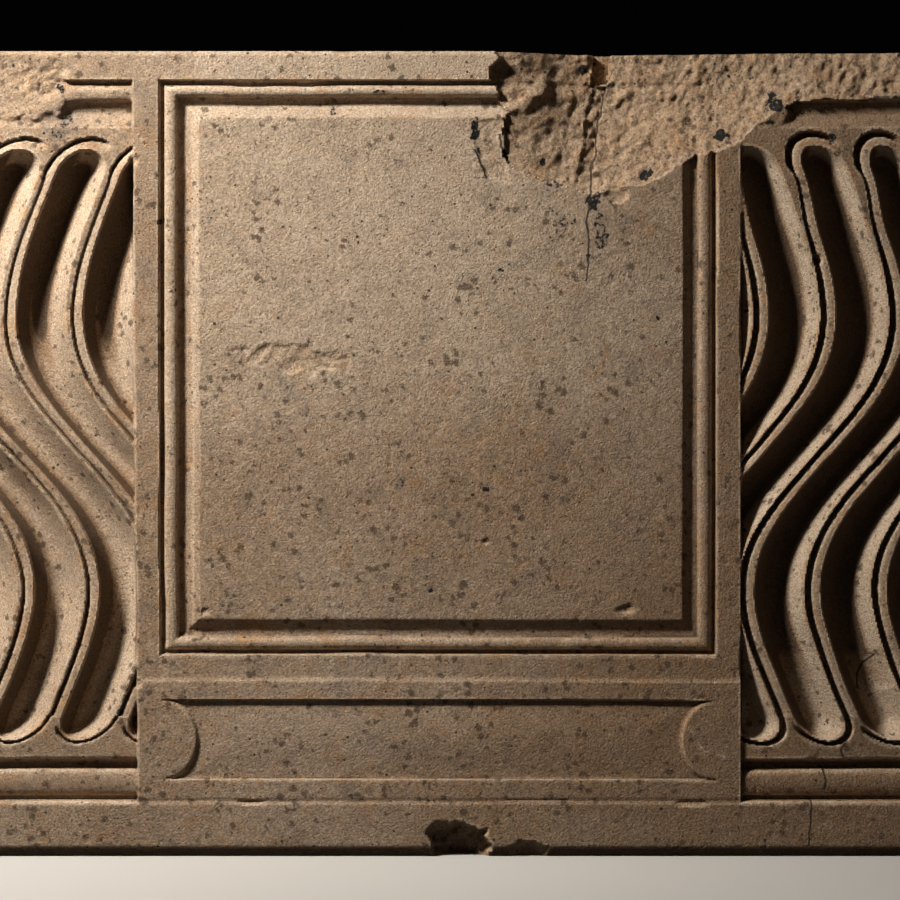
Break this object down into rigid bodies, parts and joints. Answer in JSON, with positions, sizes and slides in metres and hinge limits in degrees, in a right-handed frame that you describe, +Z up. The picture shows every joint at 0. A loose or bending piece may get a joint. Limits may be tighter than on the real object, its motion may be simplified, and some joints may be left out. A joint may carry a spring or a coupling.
{
  "type": "sarcophagus",
  "caption": "Hollow marble burial chest with S-fluted front, framed blank panel and a flat cramped lid.",
  "frame": {"origin": "centre of the chest's footprint, on the plane that it stands on", "axes": "+X along the chest's length, to the right as its carved front is seen; the carved front faces -Y; +Z up"},
  "size_m": [2.1, 0.6, 0.56],
  "materials": {
    "marble": "weathered cream marble with brown and grey patina",
    "lid_marble": "claw-tooled marble, less worn than the chest",
    "iron": "forged iron, rusted brown",
    "lead": "dull grey poured lead"
  },
  "bodies": {
    "chest": {"chest": "marble", "rim_lead_front_left": "lead", "rim_lead_front_right": "lead", "rim_lead_back_left": "lead", "rim_lead_back_right": "lead"},
    "lid": {"lid": "lid_marble", "lid_lead_front_left": "lead", "lid_lead_front_right": "lead", "lid_lead_back_left": "lead", "lid_lead_back_right": "lead"},
    "cramp_front_left": {"cramp_front_left": "iron"},
    "cramp_front_right": {"cramp_front_right": "iron"},
    "cramp_back_left": {"cramp_back_left": "iron"},
    "cramp_back_right": {"cramp_back_right": "iron"}
  },
  "joints": [
    {"name": "lid_lift", "type": "slide", "parent": "chest", "child": "lid", "axis": [0, 0, 1], "range_m": [0, 0.3]},
    {"name": "cramp_front_left_draw", "type": "slide", "parent": "lid", "child": "cramp_front_left", "axis": [0, 0, 1], "range_m": [0, 0.08]},
    {"name": "cramp_front_right_draw", "type": "slide", "parent": "lid", "child": "cramp_front_right", "axis": [0, 0, 1], "range_m": [0, 0.08]},
    {"name": "cramp_back_left_draw", "type": "slide", "parent": "lid", "child": "cramp_back_left", "axis": [0, 0, 1], "range_m": [0, 0.08]},
    {"name": "cramp_back_right_draw", "type": "slide", "parent": "lid", "child": "cramp_back_right", "axis": [0, 0, 1], "range_m": [0, 0.08]}
  ]
}
